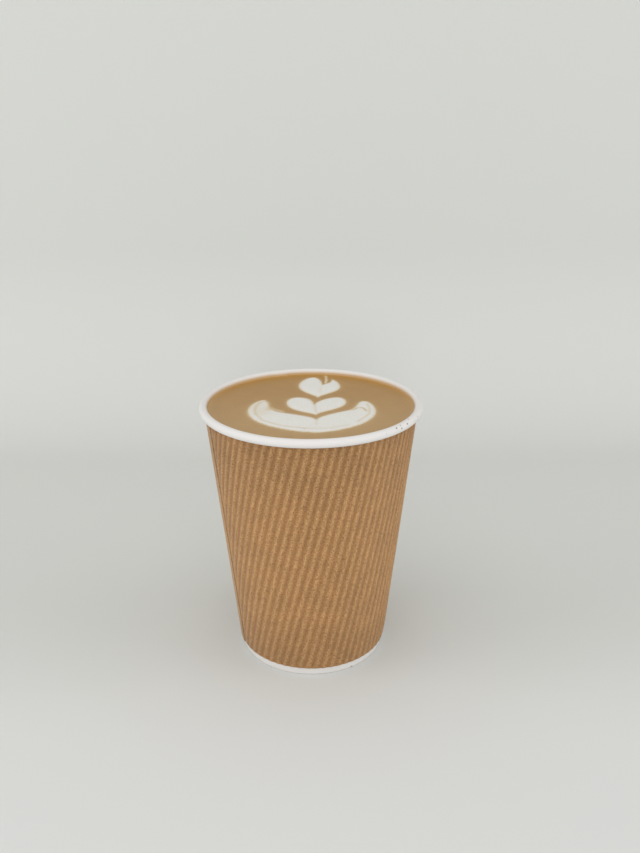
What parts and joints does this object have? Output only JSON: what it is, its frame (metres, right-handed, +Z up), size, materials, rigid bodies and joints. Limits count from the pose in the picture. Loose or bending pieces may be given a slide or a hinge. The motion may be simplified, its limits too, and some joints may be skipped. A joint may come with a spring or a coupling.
{
  "type": "paper coffee cup",
  "caption": "Takeaway paper cup with a rolled rim and a fluted kraft sleeve, filled with milk coffee that carries a poured foam figure.",
  "frame": {"origin": "centre of the foot, on the surface that the cup stands on", "axes": "+Z up along the cup's axis, -Y is the front, the side from which the foam figure is read"},
  "size_m": [0.09, 0.09, 0.11],
  "materials": {
    "cup_board": "satin",
    "kraft_paper": "matte",
    "coffee": "gloss",
    "milk_foam": "satin"
  },
  "bodies": {
    "root": {"cup_wall": "cup_board", "bottom_disc": "cup_board", "ripple_sleeve": "kraft_paper", "coffee": "coffee", "milk_foam": "milk_foam"}
  },
  "joints": []
}
